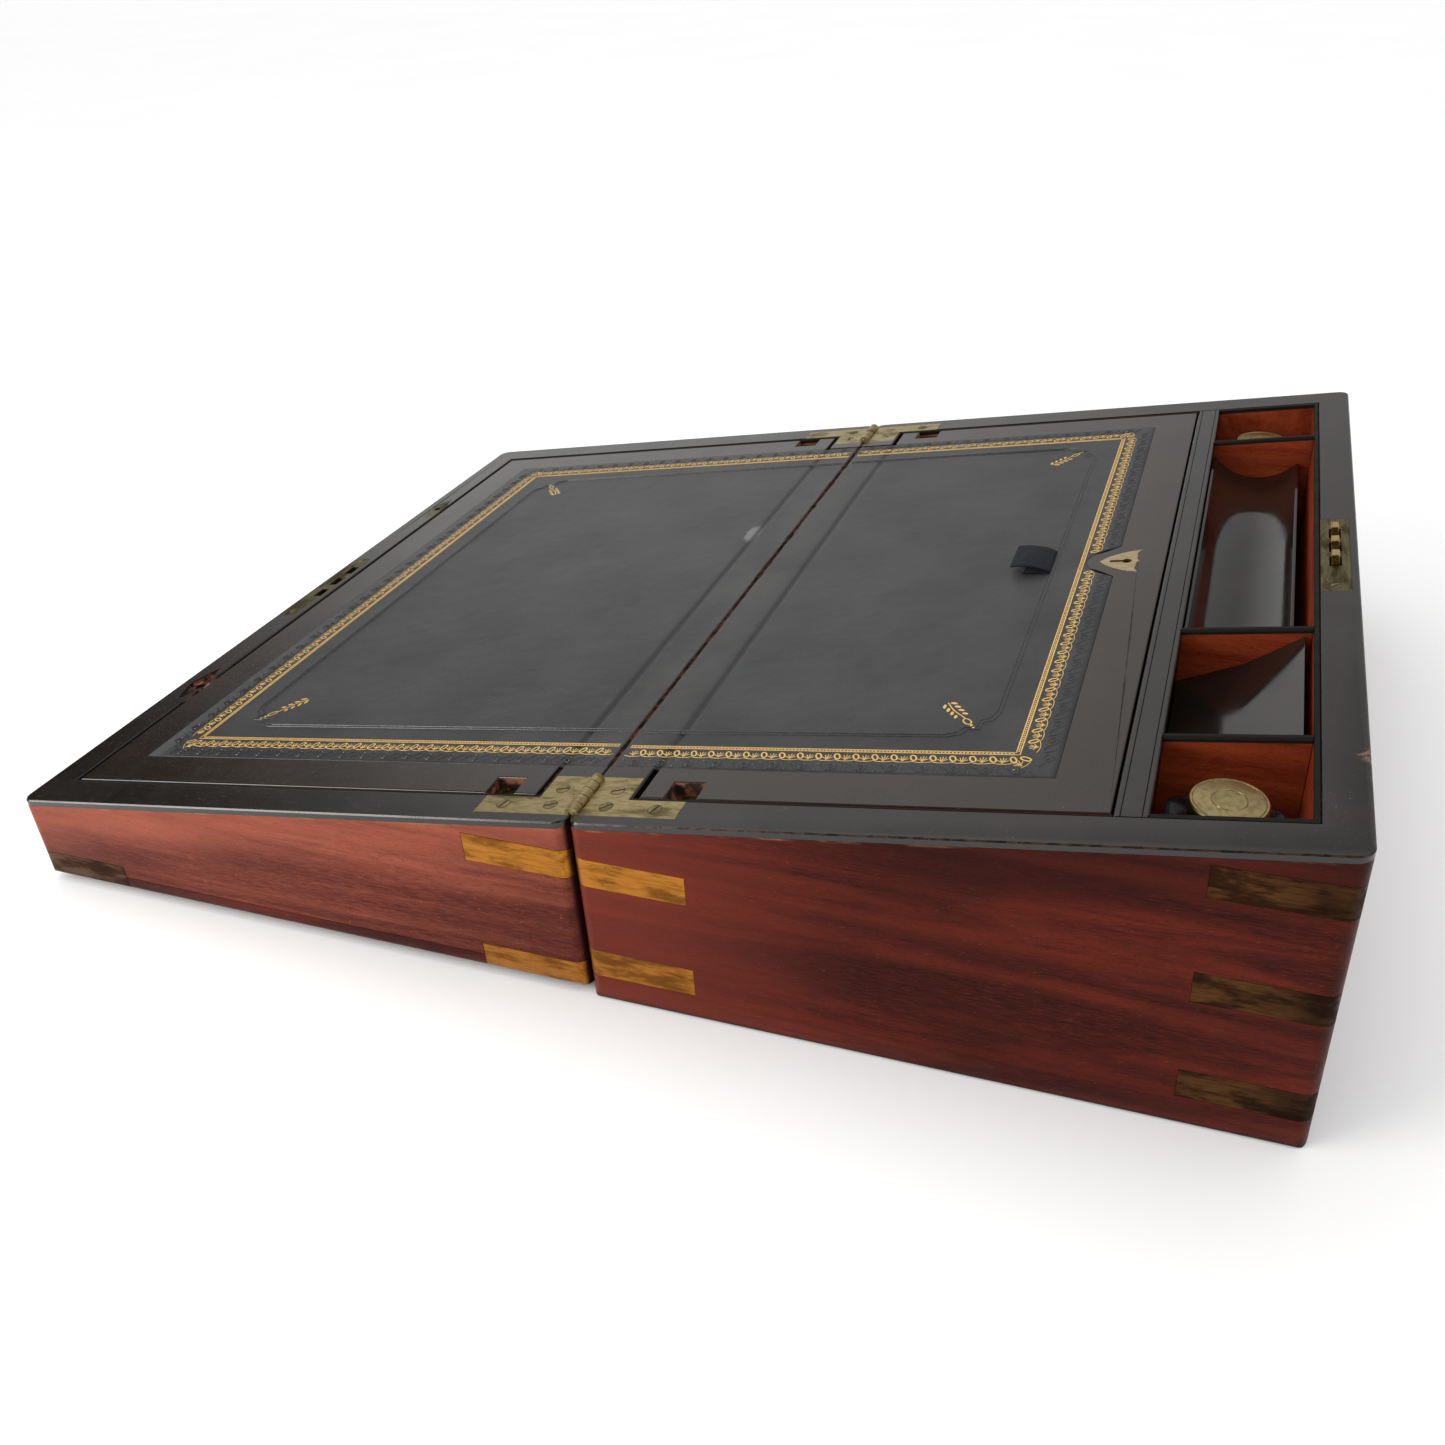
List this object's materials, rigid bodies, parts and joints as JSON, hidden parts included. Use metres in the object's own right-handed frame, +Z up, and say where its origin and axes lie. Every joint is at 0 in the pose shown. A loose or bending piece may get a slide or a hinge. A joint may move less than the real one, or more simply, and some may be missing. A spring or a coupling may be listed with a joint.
{
  "type": "portable writing slope",
  "caption": "Portable writing slope: brass-bound mahogany box open flat, with leather-lined ebonised flaps, ink bottles, pen tray, nib ramp and hooked lock.",
  "frame": {"origin": "on the surface that the base stands on, midway along the hinge line and straight below it", "axes": "+Z up; +Y along the hinge line; +X from the hinge line towards the deep end of the base, which holds the pen compartments; the lid lies open towards -X"},
  "size_m": [0.504, 0.4, 0.1221],
  "materials": {
    "mahogany": "french polished red-brown mahogany, satin to gloss, worn at the edges",
    "well_wood": "plain oiled orange-red mahogany",
    "ebony": "ebonised and polished, semi gloss, with fine rubbed edges",
    "leather": "fine-grained blue-black skiver, gilt and blind tooled",
    "brass": "old lacquered brass, golden to dull brown",
    "hinge_brass": "olive toned unlacquered brass",
    "pale_brass": "pale turned brass",
    "iron": "dull iron lock case",
    "ribbon": "dark navy ribbon",
    "glass": "clear moulded glass"
  },
  "bodies": {
    "base": {"base_near_side": "mahogany", "base_far_side": "mahogany", "base_front_board": "mahogany", "base_back_board": "mahogany", "base_bottom": "mahogany", "base_rim": "ebony", "cross_rail": "ebony", "well_floor": "well_wood", "well_lining": "well_wood", "divider_near": "well_wood", "divider_middle": "well_wood", "divider_far": "well_wood", "hinge_near_base_leaf": "hinge_brass", "hinge_far_base_leaf": "hinge_brass", "hinge_near_pin": "hinge_brass", "hinge_far_pin": "hinge_brass", "box_lock": "hinge_brass", "base_leather_strip": "leather", "base_strap_hinge_near_1": "brass", "base_strap_hinge_near_2": "brass", "base_strap_hinge_far_1": "brass", "base_strap_hinge_far_2": "brass", "base_strap_front_near_1": "brass", "base_strap_front_near_2": "brass", "base_strap_front_near_3": "brass", "base_strap_front_far_1": "brass", "base_strap_front_far_2": "brass", "base_strap_front_far_3": "brass"},
    "lid": {"lid_near_side": "mahogany", "lid_far_side": "mahogany", "lid_end_board": "mahogany", "lid_back_board": "mahogany", "lid_panel": "mahogany", "lid_rim": "ebony", "hinge_near_lid_leaf": "hinge_brass", "hinge_far_lid_leaf": "hinge_brass", "strike_plate": "hinge_brass", "socket_plate": "hinge_brass", "lid_leather_strip": "leather", "lid_strap_hinge_near_1": "brass", "lid_strap_hinge_near_2": "brass", "lid_strap_end_near": "brass", "lid_strap_hinge_far_1": "brass", "lid_strap_hinge_far_2": "brass", "lid_strap_end_far": "brass"},
    "base_flap": {"base_flap": "ebony", "base_flap_leather": "leather", "flap_escutcheon": "pale_brass", "flap_lock": "iron", "pull_tab": "ribbon"},
    "lid_flap": {"lid_flap": "ebony", "lid_flap_leather": "leather"},
    "box_lock_bolt": {"box_lock_bolt": "hinge_brass"},
    "flap_lock_bolt": {"flap_lock_bolt": "brass"},
    "near_ink_bottle": {"ink_bottle_near": "glass"},
    "near_ink_cap": {"ink_cap_near": "pale_brass"},
    "far_ink_bottle": {"ink_bottle_far": "glass"},
    "far_ink_cap": {"ink_cap_far": "pale_brass"},
    "pen_tray": {"pen_tray": "ebony"},
    "nib_ramp": {"nib_ramp": "ebony"}
  },
  "joints": [
    {"name": "lid_hinge", "type": "hinge", "parent": "base", "child": "lid", "pos_m": [0, 0, 0.08], "axis": [0, -1, 0], "range_deg": [-180, 0]},
    {"name": "base_flap_hinge", "type": "hinge", "parent": "base", "child": "base_flap", "pos_m": [0.01936, 0, 0.08239], "axis": [0, -1, 0], "range_deg": [0, 95]},
    {"name": "lid_flap_hinge", "type": "hinge", "parent": "lid", "child": "lid_flap", "pos_m": [-0.01918, 0, 0.07643], "axis": [0, 1, 0], "range_deg": [0, 95]},
    {"name": "box_lock_bolt_slide", "type": "slide", "parent": "base", "child": "box_lock_bolt", "axis": [0, 1, 0], "range_m": [0, 0.004]},
    {"name": "flap_lock_bolt_slide", "type": "slide", "parent": "base_flap", "child": "flap_lock_bolt", "axis": [0.9882, 0, 0.1529], "range_m": [0, 0.006]},
    {"name": "near_ink_bottle_lift", "type": "slide", "parent": "base", "child": "near_ink_bottle", "axis": [0, 0, 1], "range_m": [0, 0.06]},
    {"name": "near_ink_cap_lift", "type": "slide", "parent": "near_ink_bottle", "child": "near_ink_cap", "axis": [0, 0, 1], "range_m": [0, 0.02]},
    {"name": "far_ink_bottle_lift", "type": "slide", "parent": "base", "child": "far_ink_bottle", "axis": [0, 0, 1], "range_m": [0, 0.06]},
    {"name": "far_ink_cap_lift", "type": "slide", "parent": "far_ink_bottle", "child": "far_ink_cap", "axis": [0, 0, 1], "range_m": [0, 0.02]},
    {"name": "pen_tray_lift", "type": "slide", "parent": "base", "child": "pen_tray", "axis": [0, 0, 1], "range_m": [0, 0.06]},
    {"name": "nib_ramp_lift", "type": "slide", "parent": "base", "child": "nib_ramp", "axis": [0, 0, 1], "range_m": [0, 0.06]}
  ]
}
